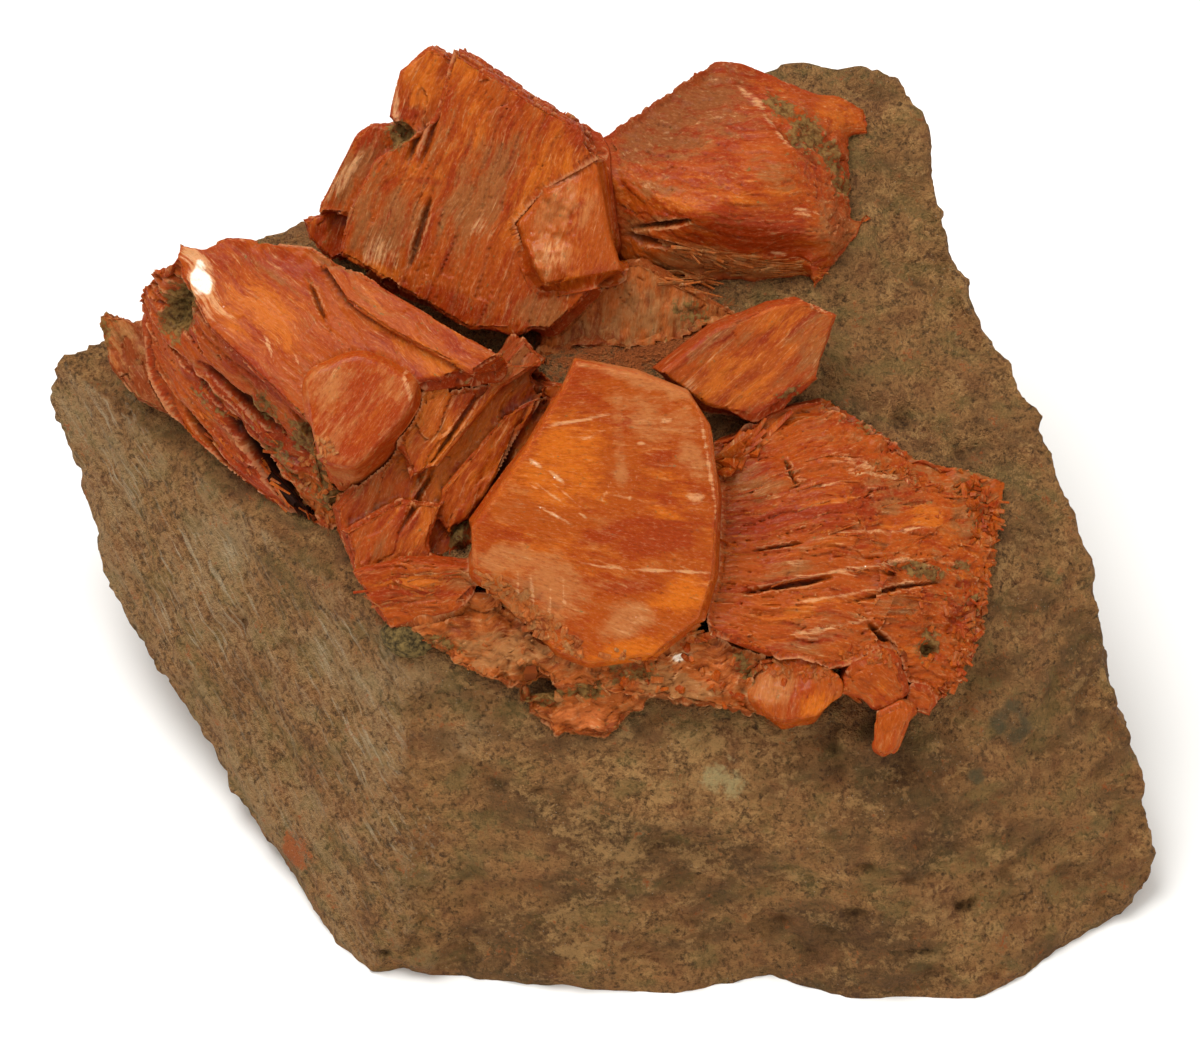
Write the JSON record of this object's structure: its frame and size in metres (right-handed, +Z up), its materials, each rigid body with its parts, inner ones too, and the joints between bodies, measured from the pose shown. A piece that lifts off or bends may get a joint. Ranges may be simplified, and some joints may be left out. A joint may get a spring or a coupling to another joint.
{
  "type": "heulandite on matrix mineral specimen",
  "caption": "Mineral specimen: a cluster of orange-red platy heulandite crystals grown over the sloping top of a broken brown basalt wedge.",
  "frame": {"origin": "under the middle of the specimen's box, on the surface that its flat underside rests on", "axes": "+X along its longest side to the right, +Y away from the viewer towards the high rear edge of the basalt, +Z up"},
  "size_m": [0.0806, 0.0608, 0.043],
  "materials": {
    "basalt": "broken, matte, fine grained",
    "heulandite_orange": "translucent, glassy to pearly",
    "heulandite_red": "translucent, pearly, striated",
    "heulandite_brown_red": "fine druse, dull to pearly"
  },
  "bodies": {
    "root": {"basalt_matrix": "basalt", "centre_tablet": "heulandite_orange", "left_round_plate": "heulandite_orange", "upper_left_flake": "heulandite_orange", "front_half_moon": "heulandite_orange", "front_knob": "heulandite_red", "front_finger": "heulandite_orange", "front_right_blade": "heulandite_red", "centre_right_wedge": "heulandite_red", "left_book": "heulandite_red", "middle_sheaf": "heulandite_red", "upper_left_book": "heulandite_red", "right_sheaf": "heulandite_red", "upper_right_sheaf": "heulandite_red", "far_left_blades": "heulandite_brown_red", "front_fold": "heulandite_red", "front_crust": "heulandite_brown_red", "pocket_crystal": "heulandite_brown_red"}
  },
  "joints": []
}
